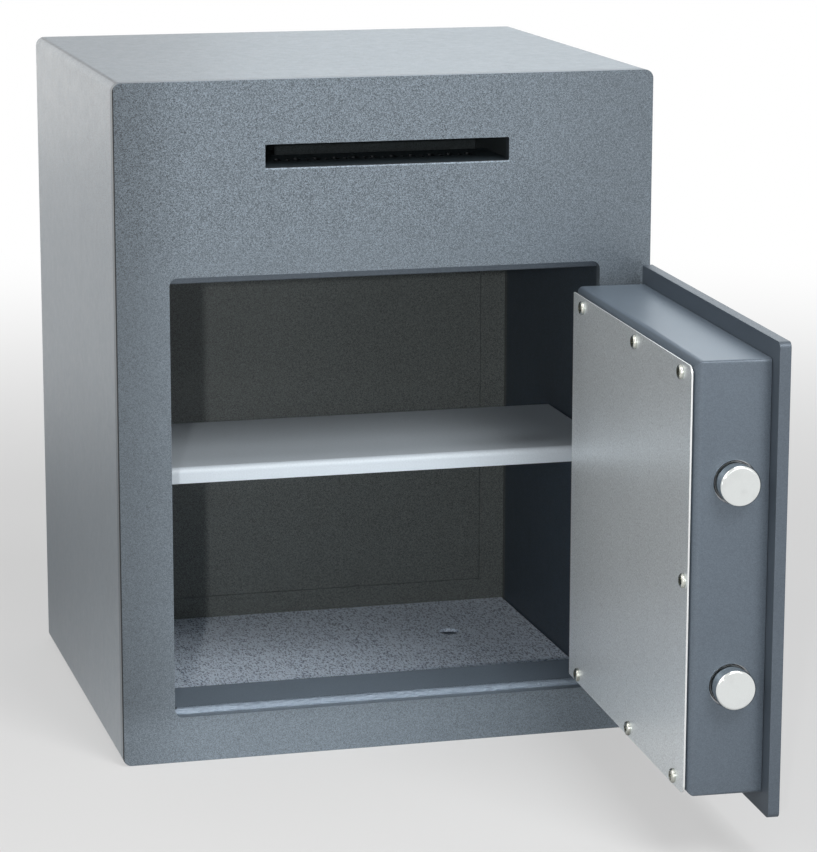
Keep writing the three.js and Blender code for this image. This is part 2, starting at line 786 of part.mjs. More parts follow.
// A plate inside the box that the bolts slide through, with a foot on the door plate.
function boltGuide() {
  const left = boxBody.left + guide.wallGap;
  const right = left + guide.sheet;
  const near = door.thickness + seam;
  const far = boxBody.far - box.sheet - guide.coverGap;
  const bottom = boltHeight.lower - bolt.radius - guide.margin;
  const top = boltHeight.upper + bolt.radius + guide.margin;
  const web = block(left, right, near, far, bottom, top);
  const foot = block(left, left + guide.footDepth, near, near + guide.sheet, bottom, top);
  const holes = [boltHeight.upper, boltHeight.lower].map((z) =>
    barAlongX(bolt.radius + bolt.guideGap, left - overrun, left + guide.footDepth + overrun, boltAxisDepth, z, 28));
  return cut(join(web, foot), ...holes);
}

// A ring round the handle's spindle, or round the keyhole, on the door's face.
function rose(radius, thickness, edge, z, bore) {
  const far = -seam;
  const near = far - thickness;
  const disc = turnedThroughDepth([
    [0, near],
    [radius - edge, near],
    [radius, near + edge],
    [radius, far],
    [0, far],
  ], spindle.x, z);
  return cut(disc, bore);
}

function handleRose() {
  const bore = barThroughDepth(handle.spindleRadius + handle.spindleGap, -handle.roseThickness - overrun,
    overrun, spindle.x, spindle.z);
  return rose(handle.roseRadius, handle.roseThickness, handle.roseEdge, spindle.z, bore);
}

function keyRose() {
  return rose(lock.roseRadius, lock.roseThickness, handle.roseEdge, keyholeZ,
    keyway(-lock.roseThickness - overrun, overrun));
}

function lockBody() {
  const { left, right, bottom, top, near } = lockCase;
  const far = near + lock.thickness;
  const shell = throughDepth(roundedOutline(left, right, bottom, top, lock.cornerRadius), near, far);
  const gap = lock.pocketGap;
  const boltNear = lockBoltNear() - gap;
  const pocketTop = bottom - lock.aboveTongue + lock.tipGap + lock.boltLength + gap;
  const half = lock.boltWidth / 2 + gap;
  const pocket = block(lockX - half, lockX + half, boltNear, boltNear + lock.boltThickness + 2 * gap,
    bottom - overrun, pocketTop);
  return cut(shell, pocket, keyway(near - overrun, near + lock.thickness / 2));
}

// The lock bolt lies in the plane of the tongue.
function lockBoltNear() {
  return tongue.near + bar.tongueSheet / 2 - lock.boltThickness / 2;
}

function lockBolt() {
  const half = lock.boltWidth / 2;
  const tip = tongue.top + lock.tipGap;
  const near = lockBoltNear();
  return block(lockX - half, lockX + half, near, near + lock.boltThickness, tip, tip + lock.boltLength);
}

// Boltwork: two bolts on a bar, pushed by the cam pin through a slotted tongue

function roundBolt(z) {
  const { radius, chamfer, studRadius } = bolt;
  const profile = [
    [0, boltTipX],
    [radius - chamfer, boltTipX],
    [radius, boltTipX + chamfer],
    [radius, boltTailX],
    [studRadius, boltTailX],
    [studRadius, studEndX],
    [0, studEndX],
  ].map(([r, x]) => new THREE.Vector2(r, x));
  const geometry = new THREE.LatheGeometry(profile, 32);
  geometry.rotateZ(-Math.PI / 2);
  geometry.translate(0, atDepth(boltAxisDepth), z);
  return solidOf(geometry);
}

function boltNut(z) {
  const left = boltTailX + seam + bar.thickness + seam;
  const body = barAlongX(bolt.nutRadius, left, left + bolt.nutThickness, boltAxisDepth, z, 6);
  return cut(body, barAlongX(bolt.studRadius + seam, left - overrun, left + bolt.nutThickness + overrun,
    boltAxisDepth, z, 20));
}

function boltBar() {
  const left = boltTailX + seam;
  const right = left + bar.thickness;
  const upright = block(left, right, tongue.near, boltAxisDepth + bar.pastAxis,
    boltHeight.lower - bar.endMargin, boltHeight.upper + bar.endMargin);
  const tongueEnd = camPin.x + cam.pinRadius + bar.tonguePastPin;
  const sheet = block(left, tongueEnd, tongue.near, tongue.near + bar.tongueSheet, tongue.bottom, tongue.top);
  const studHoles = [boltHeight.upper, boltHeight.lower].map((z) =>
    barAlongX(bolt.studRadius + seam, left - overrun, right + overrun, boltAxisDepth, z, 20));
  const toolNear = tongue.near - overrun;
  const toolFar = tongue.near + bar.tongueSheet + overrun;
  const slotHalf = cam.pinRadius + cam.slotGap;
  const pinSlot = throughDepth(roundEnded(camPin.x - slotHalf, camPin.x + slotHalf,
    camPin.lowest - slotHalf, camPin.highest + slotHalf), toolNear, toolFar);
  // two notches, so that the lock holds the bolts thrown or drawn
  const half = lock.boltWidth / 2 + bar.notchGap;
  const floor = tongue.top + lock.tipGap - lock.travel - bar.notchGap;
  const notches = [0, boltThrow].map((shift) =>
    block(lockX + shift - half, lockX + shift + half, toolNear, toolFar, floor, tongue.top + overrun));
  return cut(join(upright, sheet), ...studHoles, pinSlot, ...notches);
}

// The handle, spindle and cam are drawn locked, with the lever level

function leverHandle() {
  const far = -seam - handle.roseThickness - seam;
  const near = far - handle.hubLength;
  const edge = handle.roseEdge;
  const hub = turnedThroughDepth([
    [0, near],
    [handle.hubRadius - edge, near],
    [handle.hubRadius, near + edge],
    [handle.hubRadius, far],
    [0, far],
  ], spindle.x, spindle.z);
  const half = handle.leverWidth / 2;
  const tip = spindle.x + handle.leverLength;
  const outline = roundedOutline(spindle.x, tip, spindle.z - half, spindle.z + half,
    [0, handle.leverTipRadius, handle.leverTipRadius, 0]);
  const lever = throughDepth(outline, near + edge, near + edge + handle.leverThickness);
  const socketNear = far - handle.hubLength / 2;
  const socket = barThroughDepth(handle.spindleRadius + seam, socketNear, far + overrun, spindle.x, spindle.z);
  return cut(join(hub, lever), socket);
}

function handleSpindle() {
  const hubFar = -seam - handle.roseThickness - seam;
  const near = hubFar - handle.hubLength / 2 + seam;
  return barThroughDepth(handle.spindleRadius, near, camNear + cam.thickness, spindle.x, spindle.z);
}

function boltCam() {
  const far = camNear + cam.thickness;
  const pinX = spindle.x - cam.radius * Math.sin(halfTurn);
  const pinZ = camPin.lowest;
  const hub = barThroughDepth(cam.hubRadius, camNear, far, spindle.x, spindle.z);
  const end = barThroughDepth(cam.armEndRadius, camNear, far, pinX, pinZ);
  const across = new THREE.Vector2(Math.cos(halfTurn), Math.sin(halfTurn)).multiplyScalar(cam.armEndRadius);
  const arm = throughDepth(polygon([
    [spindle.x - across.x, spindle.z - across.y],
    [spindle.x + across.x, spindle.z + across.y],
    [pinX + across.x, pinZ + across.y],
    [pinX - across.x, pinZ - across.y],
  ]), camNear, far);
  const pin = barThroughDepth(cam.pinRadius, camNear, tongue.near + bar.tongueSheet + cam.plateGap, pinX, pinZ, 20);
  const bore = barThroughDepth(handle.spindleRadius + seam, camNear - overrun, far + overrun, spindle.x, spindle.z);
  return cut(join(hub, end, arm, pin), bore);
}

// Assembly

function cabinetGroup() {
  const group = new THREE.Group();
  group.add(
    piece("body_wrap", bodyWrap(), finishes.paint()),
    piece("back_panel", backPanel(), finishes.paint()),
    piece("front_panel", frontPanel(), finishes.paint()),
    piece("sill_channel", sillChannel(), finishes.paint()),
    piece("stop_angle", stopAngle(), finishes.innerPaint()),
    piece("strike_bar", strikeBar(), finishes.innerPaint()),
    piece("shelf", shelfTray(), finishes.shelfPaint()),
    piece("shelf_bracket_left", shelfBracket(-1), finishes.innerPaint()),
    piece("shelf_bracket_right", shelfBracket(1), finishes.innerPaint()),
    piece("floor_mat", floorMat(), finishes.felt()),
    piece("chute_ledge", chuteLedge(), finishes.innerPaint()),
    piece("chute_back", chuteBack(), finishes.innerPaint()),
    piece("chute_ramp", chuteRamp(), finishes.innerPaint()),
    piece("chute_cheek_left", chuteCheek(-1), finishes.innerPaint()),
    piece("chute_cheek_right", chuteCheek(1), finishes.innerPaint()),
  );
  for (const [name, z] of [["upper", hingeHeight.upper], ["lower", hingeHeight.lower]]) {
    group.add(
      piece("hinge_bracket_" + name, hingeBracket(z), finishes.innerPaint()),
      piece("hinge_pin_" + name, hingePin(z), finishes.steel()),
    );
  }
  return group;
}

function boltworkGroup() {
  const group = new THREE.Group();
  group.add(piece("bolt_bar", boltBar(), finishes.steel()));
  for (const [name, z] of [["upper", boltHeight.upper], ["lower", boltHeight.lower]]) {
    group.add(
      piece("bolt_" + name, roundBolt(z), finishes.chrome()),
      piece("bolt_nut_" + name, boltNut(z), finishes.zinc()),
    );
  }
  return group;
}

// Turned about the spindle by the handle's travel, because the bolts are drawn at rest.
function handleGroup() {
  const turned = new THREE.Group();
  const y = atDepth(0);
  turned.position.set(spindle.x, y, spindle.z);
  turned.rotation.y = 2 * halfTurn;
  const drawn = new THREE.Group();
  drawn.position.set(-spindle.x, -y, -spindle.z);
  drawn.add(
    piece("handle", leverHandle(), finishes.chrome()),
    piece("handle_spindle", handleSpindle(), finishes.steel()),
    piece("bolt_cam", boltCam(), finishes.steel()),
  );
  turned.add(drawn);
  return turned;
}

function doorGroup() {
  const hung = new THREE.Group();
  hung.position.set(pivot.x, atDepth(pivot.depth), 0);
  hung.rotation.z = THREE.MathUtils.degToRad(door.openAngle);
  const leaf = new THREE.Group();
  leaf.position.set(-pivot.x, -atDepth(pivot.depth), 0);
  leaf.add(
    piece("door_plate", doorPlate(), finishes.paint()),
    piece("door_box", doorBox(), finishes.paint()),
    piece("door_cover", doorCover(), finishes.coverPaint()),
    piece("bolt_guide", boltGuide(), finishes.steel()),
    piece("lock_case", lockBody(), finishes.steel()),
    piece("handle_rose", handleRose(), finishes.chrome()),
    piece("keyhole_rose", keyRose(), finishes.chrome()),
    piece("lock_bolt", lockBolt(), finishes.zinc()),
    piece("hinge_arm_upper", hingeArm(hingeHeight.upper), finishes.innerPaint()),
    piece("hinge_arm_lower", hingeArm(hingeHeight.lower), finishes.innerPaint()),
  );
  coverScrewPlaces().forEach((place, i) => {
    leaf.add(piece("cover_screw_" + (i + 1), coverScrew(place), finishes.zinc()));
  });
  leaf.add(boltworkGroup(), handleGroup());
  hung.add(leaf);
  return hung;
}

const safe = new THREE.Group();
safe.add(cabinetGroup(), doorGroup());

export default safe;
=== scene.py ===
# %% [markdown]
# # Dressing a drop safe
#
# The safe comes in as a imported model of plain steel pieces: a folded cabinet, a thick door on
# swan-neck hinges, and the bolts and lock inside that door. This lesson gives those pieces soft
# arrises and finishes. The bolts and the screws of the cover are modelled again by hand, because
# they stand in full view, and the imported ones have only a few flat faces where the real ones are
# round. Every length is in metres, +Z is up and the front of the safe faces -Y.

# %% Load the frame
import json
import math

import bmesh
import bpy
from mathutils import Matrix, Vector

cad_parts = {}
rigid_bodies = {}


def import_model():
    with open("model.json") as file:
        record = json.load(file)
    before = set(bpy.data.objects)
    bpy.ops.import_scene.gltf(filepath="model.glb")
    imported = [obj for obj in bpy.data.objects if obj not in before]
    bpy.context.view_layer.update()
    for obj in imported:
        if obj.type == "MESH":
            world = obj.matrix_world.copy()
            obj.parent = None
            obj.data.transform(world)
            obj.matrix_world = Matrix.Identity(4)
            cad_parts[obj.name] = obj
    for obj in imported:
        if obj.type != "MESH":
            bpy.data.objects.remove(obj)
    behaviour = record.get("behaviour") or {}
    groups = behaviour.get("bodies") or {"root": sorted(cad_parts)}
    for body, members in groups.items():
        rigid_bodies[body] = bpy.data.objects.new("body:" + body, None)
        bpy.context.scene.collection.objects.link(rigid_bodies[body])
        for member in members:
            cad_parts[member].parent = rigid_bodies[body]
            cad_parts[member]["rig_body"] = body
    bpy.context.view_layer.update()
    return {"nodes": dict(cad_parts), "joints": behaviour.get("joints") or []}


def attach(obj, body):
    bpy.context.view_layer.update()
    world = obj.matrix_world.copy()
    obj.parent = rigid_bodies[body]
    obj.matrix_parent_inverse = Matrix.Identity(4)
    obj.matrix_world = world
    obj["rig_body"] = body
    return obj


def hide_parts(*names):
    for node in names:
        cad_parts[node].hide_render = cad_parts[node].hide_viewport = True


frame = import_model()
nodes = frame["nodes"]

# %% [markdown]
# ## The camera
#
# The picture is taken from the left and a little above, with a long lens, so that the cabinet shows
# its left side and its top while the front stays almost square to the view. The turn is built from
# three directions, which is easier to check than three angles.

# %% Camera
camera_place = Vector((-0.590987, -2.449525, 0.750081))
camera_turn = math.radians(14.957)
camera_dip = math.radians(12.170)
camera_roll = math.radians(0.113)
frame_height = 852
focal_pixels = 3281.1
sensor = 36


def aimed(turn, dip, roll):
    """The rotation of a camera turned right and dipped by these angles."""
    ahead = Vector(
        (math.sin(turn) * math.cos(dip), math.cos(turn) * math.cos(dip), -math.sin(dip))
    )
    right = Vector((math.cos(turn), -math.sin(turn), 0))
    up = right.cross(ahead)
    rolled_right = math.cos(roll) * right + math.sin(roll) * up
    rolled_up = math.cos(roll) * up - math.sin(roll) * right
    return Matrix((rolled_right, rolled_up, -ahead)).transposed()


scene = bpy.context.scene
lens = bpy.data.cameras.new("camera")
lens.sensor_width = sensor
lens.lens = focal_pixels / frame_height * sensor
camera = bpy.data.objects.new("camera", lens)
scene.collection.objects.link(camera)
camera.location = camera_place
camera.rotation_euler = aimed(camera_turn, camera_dip, camera_roll).to_euler()
scene.camera = camera
scene.view_settings.view_transform = "Standard"
print("lens", round(lens.lens, 1), "mm")

# %% [markdown]
# ## Shader maths in plain Python
#
# A finish is a small tree of nodes. Writing `1 - speck * 0.3` is easier to read than three Math
# nodes and their links, so a socket is wrapped in a class whose operators add the nodes. Every
# other node comes from one method, which takes the node's type, its settings and its inputs.


# %% Nodes as expressions
class Socket:
    """A value that runs through a finish. Arithmetic on it adds Math nodes."""

    def __init__(self, finish, output):
        self.finish = finish
        self.output = output

    def maths(self, operation, *inputs):
        settings = {"operation": operation}
        return self.finish.node("ShaderNodeMath", settings, dict(enumerate(inputs)))

    def __add__(self, other):
        return self.maths("ADD", self, other)

    def __sub__(self, other):
        return self.maths("SUBTRACT", self, other)

    def __mul__(self, other):
        return self.maths("MULTIPLY", self, other)

    def __radd__(self, other):
        return self.maths("ADD", other, self)

    def __rsub__(self, other):
        return self.maths("SUBTRACT", other, self)

    def __rmul__(self, other):
        return self.maths("MULTIPLY", other, self)

    def __lt__(self, other):
        return self.maths("LESS_THAN", self, other)

    def __gt__(self, other):
        return self.maths("GREATER_THAN", self, other)

    def __abs__(self):
        return self.maths("ABSOLUTE", self)

    def clamped(self):
        return self.finish.node("ShaderNodeClamp", {}, {"Value": self})

    def between(self, low, high):
        """0 below low and 1 above high, with a soft step between them."""
        return self.finish.node(
            "ShaderNodeMapRange",
            {"interpolation_type": "SMOOTHSTEP"},
            {"Value": self, "From Min": low, "From Max": high},
        )


# %% [markdown]
# A finish owns the material and its Principled shader. Its methods are the few patterns that steel,
# paint and felt need: cloudy noise, cells with a random value each, round flecks, a mix of two
# colours and a bump.


# %% Finishes
class Finish:
    """A material, made from its Principled shader outwards."""

    def __init__(self, name):
        self.material = bpy.data.materials.new(name)
        self.material.use_nodes = True
        self.tree = self.material.node_tree
        self.shader = self.tree.nodes["Principled BSDF"]

    def node(self, kind, settings, inputs, output=0):
        made = self.tree.nodes.new(kind)
        for key, value in settings.items():
            setattr(made, key, value)
        for key, value in inputs.items():
            self.link(made.inputs[key], value)
        return Socket(self, made.outputs[output])

    def link(self, target, value):
        if isinstance(value, Socket):
            self.tree.links.new(value.output, target)
        else:
            target.default_value = value

    def shade(self, **inputs):
        """Sets or links inputs of the shader; Base_Color stands for Base Color."""
        for key, value in inputs.items():
            self.link(self.shader.inputs[key.replace("_", " ")], value)

    def place(self):
        return self.node("ShaderNodeTexCoord", {}, {}, "Object")

    def facing(self):
        """The direction that the surface looks in."""
        return self.node("ShaderNodeTexCoord", {}, {}, "Normal")

    def axis(self, place, letter):
        return self.node("ShaderNodeSeparateXYZ", {}, {"Vector": place}, letter)

    def distance(self, place, centre):
        settings = {"operation": "DISTANCE"}
        return self.node("ShaderNodeVectorMath", settings, {0: place, 1: centre}, "Value")

    def stretched(self, place, scale):
        return self.node("ShaderNodeMapping", {}, {"Vector": place, "Scale": scale})

    def noise(self, place, size, detail=2.0, rough=0.5, stretch=None):
        """Cloudy noise, from 0 to 1, whose lumps are about this size."""
        if stretch:
            place = self.stretched(place, stretch)
        inputs = {"Vector": place, "Scale": 1 / size, "Detail": detail, "Roughness": rough}
        return self.node("ShaderNodeTexNoise", {}, inputs, "Fac")

    def cells(self, place, size):
        """A random value from 0 to 1 for each of the cells that fill the space."""
        inputs = {"Vector": place, "Scale": 1 / size}
        colour = self.node("ShaderNodeTexVoronoi", {}, inputs, "Color")
        return self.node("ShaderNodeSeparateColor", {}, {"Color": colour}, "Red")

    def flecks(self, place, size, share):
        """Small round flecks, in this share of the cells."""
        inputs = {"Vector": place, "Scale": 1 / size}
        from_centre = self.node("ShaderNodeTexVoronoi", {}, inputs, "Distance")
        chosen = self.cells(place, size) < share
        return (1 - from_centre.between(0.18, 0.34)) * chosen

    def mix(self, first, second, factor):
        """first where factor is 0, second where it is 1."""
        inputs = {"Factor": factor, 6: first, 7: second}
        return self.node("ShaderNodeMix", {"data_type": "RGBA"}, inputs, 2)

    def scaled(self, colour, factor):
        """A colour made lighter or darker by a factor near 1."""
        inputs = {0: colour if isinstance(colour, Socket) else colour[:3], "Scale": factor}
        return self.node("ShaderNodeVectorMath", {"operation": "SCALE"}, inputs)

    def bump(self, height, depth, strength=1.0):
        inputs = {"Height": height, "Distance": depth, "Strength": strength}
        return self.node("ShaderNodeBump", {}, inputs)


def tint(red, green, blue):
    return (red, green, blue, 1.0)


print("shader maths ready")

# %% [markdown]
# ## Where the paint differs
#
# Sprayed paint isn't the same all over. It is thick on a weld and scuffed where hands touch. On top
# of that, painted shade darkens the walls inside the cabinet, the left arris and fold, the recesses
# and the front's edges, while painted light makes the foot, the slot's lower arris and the pan's top
# paler. Each of these is a mask: a small function that answers with 0 or 1, or something between,
# for a place on the piece. The places follow from the boxes of the imported pieces.


# %% Boxes of the cabinet's pieces
def span(node, turn=Matrix()):
    """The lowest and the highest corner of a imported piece, after this turn."""
    source = nodes[node]
    corners = [turn @ source.matrix_world @ vertex.co for vertex in source.data.vertices]
    low = Vector([min(corner[axis] for corner in corners) for axis in range(3)])
    high = Vector([max(corner[axis] for corner in corners) for axis in range(3)])
    return low, high


wrap_low, wrap_high = span("body_wrap")
front_low, front_high = span("front_panel")
sill_low, sill_high = span("sill_channel")
ledge_top = span("chute_ledge")[1].z
print("front from", tuple(front_low), "to", tuple(front_high))

# %% [markdown]
# The sheet is 6 mm thick, so a place more than 5.5 mm inside the wrap's box lies on a face that
# looks into the cabinet. Paint on the back's inner face is olive, and the walls are painted a dark
# navy, which is painted shade.

# %% Inside of the cabinet
inside_margin = 0.0055
corner_depth = 0.0068
inner_half_width = wrap_high.x - inside_margin
inner_back = wrap_high.y - inside_margin
inner_floor = wrap_low.z + inside_margin
inner_top = wrap_high.z - inside_margin
back_sheet = span("back_panel")[0].y - corner_depth
print("inner faces from", round(inner_floor, 4), "to", round(inner_top, 4))


def inside_cabinet(paint, place):
    """1 on the sheet faces that look into the cabinet, 0 outside."""
    across = abs(paint.axis(place, "X")) < inner_half_width
    before_back = paint.axis(place, "Y") < inner_back
    height = paint.axis(place, "Z")
    return across * before_back * (height > inner_floor) * (height < inner_top)


# %% [markdown]
# The front panel is welded into the wrap, and a fine line of painted shade runs down the left side
# where the two meet. On the fold between the left side and the top there is painted shade too, but
# only where the fold already looks almost upwards, so that mask reads the direction of the surface.

# %% Painted shade on the left arris and fold
arris_side = wrap_low.x + 0.0009
arris_front = front_low.y + 0.0012
fold_side = wrap_low.x + 0.0100
fold_shade_share = 0.6


def left_arris_shade(paint, place):
    """1 on the fine line of painted shade where the front panel meets the left side."""
    return (paint.axis(place, "X") < arris_side) * (paint.axis(place, "Y") < arris_front)


def left_fold_shade(paint, place):
    """Above 0 on the upper part of the left fold, where it is painted with shade."""
    upward = paint.axis(paint.facing(), "Z")
    on_fold = upward.between(0.84, 0.90) * (1 - upward.between(0.94, 0.99))
    return on_fold * (paint.axis(place, "X") < fold_side) * fold_shade_share


# %% [markdown]
# On the front, painted shade darkens the coat down the left and a little down the right, in the
# slot's throat and on the doorway's lower face. A painted highlight runs along the slot's lower
# arris, and painted light from the floor makes the foot of the front paler.

# %% Painted shade and light on the front
front_skin = front_low.y + 0.0010
slot_bottom = ledge_top
slot_top = slot_bottom + 0.0170
slot_half_width = 0.0905
doorway_half_width = 0.1605
threshold_low = sill_high.z + 0.0003
threshold_high = sill_high.z + 0.0020
left_shade_fade, left_shade_share = (-0.207, -0.135), 0.38
right_shade_fade, right_shade_share = (0.08, 0.21), 0.12
foot_light_fade, foot_light_share = (0.020, 0.050), 0.28
throat_margin, throat_shade_share = 0.0040, 0.6
threshold_margin, threshold_shade_share = 0.0020, 0.7
slot_arris_height, slot_highlight_share = 0.0010, 0.9


def front_shade_and_light(paint, place):
    """The share of painted shade; below 0 it is painted light that makes the coat paler."""
    across = paint.axis(place, "X")
    height = paint.axis(place, "Z")
    behind_face = paint.axis(place, "Y") > front_skin
    slot_height = (height > slot_bottom - throat_margin) * (height < slot_top + throat_margin)
    throat = behind_face * slot_height * (abs(across) < slot_half_width + throat_margin)
    foot_height = (height > threshold_low) * (height < threshold_high)
    threshold = behind_face * foot_height * (abs(across) < doorway_half_width + threshold_margin)
    on_slot_arris = (abs(height - slot_bottom) < slot_arris_height) * (abs(across) < slot_half_width)
    slot_highlight = on_slot_arris * (1 - behind_face)
    # Painted shade down the left and the right, in the throat and on the threshold; painted light at
    # the foot, and a painted highlight on the slot's lower arris.
    left_shade = (1 - across.between(*left_shade_fade)) * left_shade_share
    right_shade = across.between(*right_shade_fade) * right_shade_share
    front_shade = left_shade + right_shade + throat * throat_shade_share + threshold * threshold_shade_share
    return front_shade - (1 - height.between(*foot_light_fade)) * foot_light_share - slot_highlight * slot_highlight_share


# %% [markdown]
# The sill's front edge is a weld bead that was painted over. It is lumpy, and it stops in a small
# pit at the doorway's left side, which is painted dark as its shade. The ledge under the slot is
# pierced, and the walls of its slits are painted dark as their shade. The top of the door's pan
# faces up and is painted paler, as painted light from above.

# %% Weld, painted shade in the pit and slits, painted light on the pan
bead_front = sill_low.y + 0.0092
bead_foot = sill_high.z - 0.0077
bead_end = (0.0017 - doorway_half_width, sill_low.y + 0.0034, sill_high.z - 0.0002)
pit_radius, pit_edge = 0.0009, 0.0017
top_light_share = -0.55


def sill_bead(paint, place):
    """1 on the weld bead along the front edge of the sill."""
    return (paint.axis(place, "Y") < bead_front) * (paint.axis(place, "Z") > bead_foot)


def pit_shade(paint, place):
    """Nearly 1 in the small pit where the weld stops, which is painted dark as its shade."""
    return 1 - paint.distance(place, bead_end).between(pit_radius, pit_edge)


def slit_wall_shade(paint, place):
    """1 on the walls of the slits in the ledge, which are painted dark as their shade."""
    return abs(paint.axis(paint.facing(), "Z")) < 0.5


def top_painted_light(paint, place):
    """Below 0 on a face that looks straight up, which is painted paler as painted light from above.
    """
    return paint.axis(paint.facing(), "Z").between(0.80, 0.98) * top_light_share


# %% [markdown]
# ## Powder coat
#
# The paint is a blue-grey powder coat. Close up it isn't one colour: grains of half a millimetre
# are lighter or darker, each by its own amount, and the skin is slightly uneven, like very fine
# orange peel. Random cells give those grains a clear edge, which noise wouldn't. The grain is
# strongest on the header and calmer towards the right. The large sheets also have blotches, faint
# upright runs and a few scuffs.

# %% Powder coat
blue_grey = tint(0.160, 0.194, 0.226)
navy_wall_shade = tint(0.052, 0.073, 0.097)
back_olive = tint(0.128, 0.143, 0.138)
grain_size, grain_shine = 0.0005, 0.12
skin_size, skin_depth = 0.0012, 0.00010
cloud_size, cloud_share = 0.045, 0.12
blotch_size = 0.007
run_size, run_share = 0.018, 0.45
scuff_size, scuff_share = 0.016, 0.4
scuffed_cells = 0.05
dark_shade_share = 0.85
top_skin = wrap_high.z - 0.0015
inner_dullness, inner_roughness = 0.7, 0.2
weld_lump = 0.0020
weld_rise = 150
header_fade = (0.33, 0.42)
calm_fade = (0.0, 0.2)


def grain_strength(paint, place):
    """Stronger grain on the header, less so towards its right."""
    on_header = paint.axis(place, "Z").between(*header_fade)
    calm = paint.axis(place, "X").between(*calm_fade)
    return 0.6 + 0.6 * on_header * (1 - 0.7 * calm)


def coat_height(paint, place, weld):
    """The fine orange peel, with the lumps of a weld where there is one."""
    skin = paint.noise(place, skin_size, 1.0, 0.5)
    if not weld:
        return skin
    lumps = paint.noise(place, weld_lump, 3.0, 0.7, (0.5, 1, 1))
    return skin + weld(paint, place) * lumps * weld_rise


# %% [markdown]
# One recipe makes every painted piece. Its numbers say how strong the grain is and how the paint
# shines, and its masks say where it differs.


# %% The paint's recipe
def speckled(
    name,
    colour,
    grain=1.0,
    roughness=0.42,
    metallic=0.35,
    mottle=0.0,
    lacquer=0.0,
    cavity=None,
    joint=None,
    light_and_shade=None,
    weld=None,
):
    """Powder coat. cavity marks the inner faces, whose walls carry painted shade. The joint mask
    says where painted shade darkens the coat, the mask after it where painted shade darkens it and
    painted light makes it paler, and weld where the coat lies on a weld."""
    paint = Finish(name)
    place = paint.place()
    within = cavity(paint, place) if cavity else 0.0
    dark_shade = joint(paint, place) if joint else 0.0
    light_and_shade_share = light_and_shade(paint, place) if light_and_shade else 0.0
    grains = paint.cells(place, grain_size)
    clouds = paint.noise(place, cloud_size, 3.0, 0.5)
    blotches = paint.noise(place, blotch_size, 3.0, 0.65)
    runs = paint.noise(place, run_size, 3.0, 0.6, (1, 1, 0.03))
    scuffs = paint.flecks(paint.stretched(place, (1, 1, 0.3)), scuff_size, scuffed_cells)
    base = colour
    if cavity:
        # On the inner walls the dark navy is painted shade; the back's inner face is olive.
        inner_colour_and_shade = paint.mix(navy_wall_shade, back_olive, paint.axis(place, "Y") > back_sheet)
        base = paint.mix(colour, inner_colour_and_shade, within)
    strength = grain * grain_strength(paint, place) * (1 + within)
    lightness = 1 + (grains - 0.5) * strength + (clouds - 0.5) * cloud_share
    wear = (blotches - 0.5) + (runs - 0.5) * run_share - scuffs * scuff_share
    handled = wear * mottle * (paint.axis(place, "Z") < top_skin)
    # Painted shade darkens the coat here and painted light makes it paler.
    painted_light_factor = (1 - dark_shade * dark_shade_share) * (1 - light_and_shade_share)
    shine = roughness + (grains - 0.5) * grain_shine + (blotches - 0.5) * mottle
    paint.shade(
        Base_Color=paint.scaled(base, (lightness + handled) * painted_light_factor),
        Metallic=metallic * (1 - within * inner_dullness),
        Roughness=(shine + within * inner_roughness).clamped(),
        Normal=paint.bump(coat_height(paint, place, weld), skin_depth * grain, 0.6),
        Coat_Weight=lacquer,
        Coat_Roughness=0.3,
    )
    return paint.material


# %% Paint of the cabinet
shell = {"grain": 0.9, "mottle": 0.22, "lacquer": 0.22, "cavity": inside_cabinet}
outer_paint = speckled(
    "outer_paint", blue_grey, grain=1.1, joint=left_arris_shade, light_and_shade=front_shade_and_light
)
wrap_paint = speckled("wrap_paint", blue_grey, joint=left_fold_shade, **shell)
back_paint = speckled("back_paint", blue_grey, **shell)
cavity_paint = speckled(
    "cavity_paint", tint(0.140, 0.158, 0.152), grain=0.8, roughness=0.6, metallic=0.1
)
# The sill's coat is much lighter than the cabinet's, as painted light for the bright surroundings
# that it reflects.
sill_lit_paint = speckled(
    "sill_lit_paint",
    tint(0.27, 0.335, 0.41),
    grain=0.2,
    roughness=0.19,
    joint=pit_shade,
    weld=sill_bead,
)
print([paint.name for paint in (outer_paint, wrap_paint, back_paint, cavity_paint, sill_lit_paint)])

# %% Paint of the chute and the door
# The ledge, the ramp and the chute's back and cheeks are painted far darker than the cabinet's coat,
# as painted shade inside the slot; the ramp is nearly black.
ledge_shade_paint = speckled(
    "ledge_shade_paint", tint(0.060, 0.084, 0.100), grain=0.6, roughness=0.5, joint=slit_wall_shade
)
ramp_shade_paint = speckled(
    "ramp_shade_paint", tint(0.010, 0.012, 0.014), grain=0.8, roughness=0.7, metallic=0.0
)
chute_shade_paint = speckled(
    "chute_shade_paint", tint(0.050, 0.062, 0.066), grain=0.8, roughness=0.6, metallic=0.1
)
# The pan's top is painted paler, as painted light from above.
door_paint = speckled(
    "door_paint", tint(0.112, 0.140, 0.172), grain=0.5, roughness=0.40, light_and_shade=top_painted_light
)
# The plate's coat is a darker copy of the door's, as painted shade for its faces beside the pan.
plate_shade_paint = speckled("plate_shade_paint", tint(0.094, 0.117, 0.144), grain=0.5, roughness=0.44)
print([paint.name for paint in (ledge_shade_paint, ramp_shade_paint, chute_shade_paint, door_paint, plate_shade_paint)])

# %% [markdown]
# ## Silver cover, pale shelf, felt and plated metal
#
# The cover on the back of the door is a thin sheet with a silver satin coat, and its grain is
# coarser and softer than the cabinet's. Its thin cut edge is bare and bright, so a mask finds the
# faces that look away from the cover's broad side. The shelf is pale grey.

